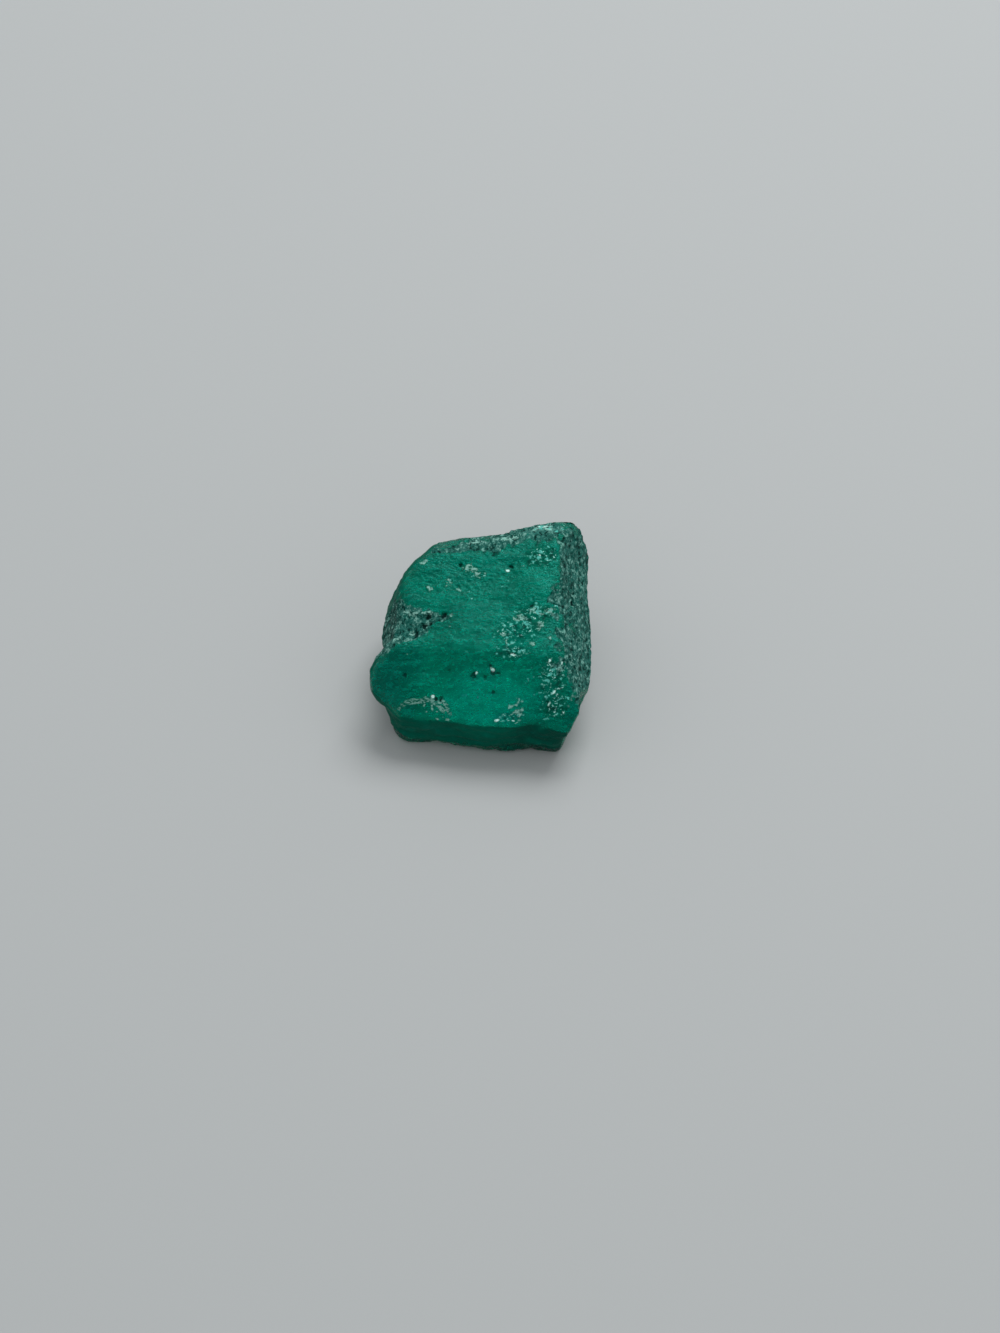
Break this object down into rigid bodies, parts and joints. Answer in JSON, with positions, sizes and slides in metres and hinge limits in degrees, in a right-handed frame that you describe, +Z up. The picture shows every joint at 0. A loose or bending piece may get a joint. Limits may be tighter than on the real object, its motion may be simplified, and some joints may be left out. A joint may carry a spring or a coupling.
{
  "type": "raw emerald crystal",
  "caption": "Rough green gem crystal, a short prism broken at its ends and top, with frosted natural sides, chips, etched pits and a flat side to rest on.",
  "frame": {"origin": "middle of the bottom of the bounding box, on the flat natural side that the stone lies on", "axes": "+Z up, +X towards the stone's frosted right side, -Y towards its broken front end, Y along the prism's own axis"},
  "size_m": [0.0114, 0.011, 0.0066],
  "materials": {
    "emerald": "translucent deep green, glassy on the breaks, frosted and etched on the natural sides"
  },
  "bodies": {
    "root": {"emerald_crystal": "emerald"}
  },
  "joints": []
}
